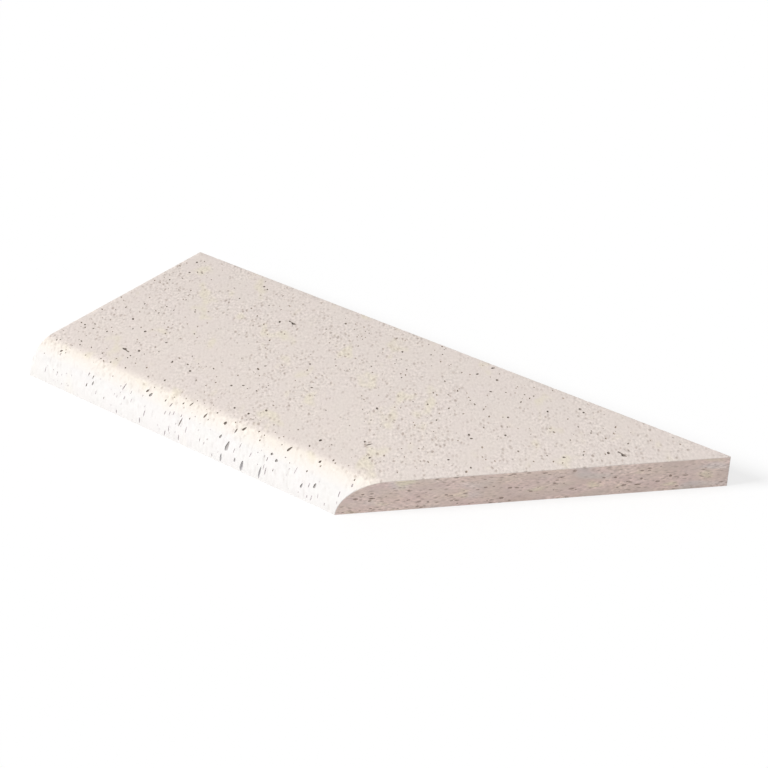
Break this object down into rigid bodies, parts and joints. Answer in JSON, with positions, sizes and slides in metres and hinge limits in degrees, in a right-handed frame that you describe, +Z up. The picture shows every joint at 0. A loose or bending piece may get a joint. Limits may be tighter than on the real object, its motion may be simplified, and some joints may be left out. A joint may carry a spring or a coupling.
{
  "type": "pool coping corner",
  "caption": "Flat stone slab that edges a swimming pool: rounded along the pool side, square at one end and mitred at the other, to meet its mirror image in the corner.",
  "frame": {"origin": "on the bed, under the middle of the slab's outline", "axes": "+X along the pool side towards the mitre, +Y from the pool side to the back, +Z up from the bed to the walking face"},
  "size_m": [0.9986, 0.4, 0.05],
  "materials": {
    "stone": "fine sawn face with open pores, unpolished"
  },
  "bodies": {
    "root": {"coping_slab": "stone"}
  },
  "joints": []
}
